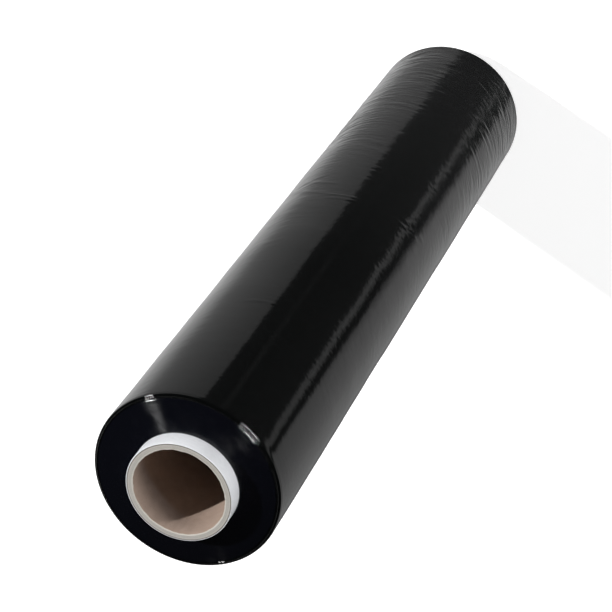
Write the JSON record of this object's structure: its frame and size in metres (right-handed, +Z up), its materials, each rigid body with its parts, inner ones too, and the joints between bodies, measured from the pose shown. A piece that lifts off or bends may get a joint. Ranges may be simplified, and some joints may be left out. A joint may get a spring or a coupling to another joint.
{
  "type": "stretch wrap roll",
  "caption": "Hand roll of glossy black stretch film wound on a white-faced paper core that stands out past the film at both ends, for wrapping pallets and parcels.",
  "frame": {"origin": "centre of the lower end of the core, where the roll stands", "axes": "+Z up along the axis of the roll"},
  "size_m": [0.102, 0.102, 0.52],
  "materials": {
    "black_film": "glossy, stretched and wound film",
    "core_board": "spiral-wound board with a smooth white outer ply"
  },
  "bodies": {
    "root": {"film_roll": "black_film", "core_tube": "core_board"}
  },
  "joints": []
}
